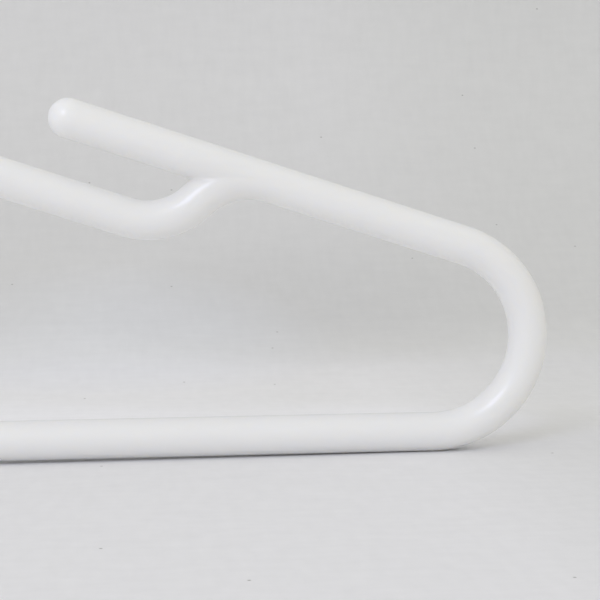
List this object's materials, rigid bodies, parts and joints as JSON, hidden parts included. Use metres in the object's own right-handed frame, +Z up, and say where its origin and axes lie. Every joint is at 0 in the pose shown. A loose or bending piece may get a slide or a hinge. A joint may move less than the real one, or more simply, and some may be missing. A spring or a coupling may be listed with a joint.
{
  "type": "clothes hanger",
  "caption": "White tubular clothes hanger with rounded end loops, open strap notches under free-ended arms, a bottom bar and a swivelling wire hook.",
  "frame": {"origin": "under the middle of the bottom bar, at the lowest point of the tube", "axes": "+X along the bottom bar, towards the end loop that the picture shows; +Y out of the hanger's back; +Z up, towards the hook"},
  "size_m": [0.42, 0.015, 0.2004],
  "materials": {
    "white_plastic": "glossy, slightly milky white moulded plastic",
    "ferrule_chrome": "bright plated steel",
    "washer_plastic": "smooth natural bearing plastic",
    "collar_steel": "turned steel",
    "hook_chrome": "bright plated steel wire"
  },
  "bodies": {
    "frame": {"frame": "white_plastic", "neck_ferrule": "ferrule_chrome", "upper_washer": "washer_plastic", "lower_washer": "washer_plastic"},
    "hook": {"swivel_hook": "hook_chrome", "stop_collar": "collar_steel"}
  },
  "joints": [
    {"name": "hook_swivel", "type": "hinge", "parent": "frame", "child": "hook", "pos_m": [0, 0, 0.1169], "axis": [0, 0, 1], "continuous": true}
  ]
}
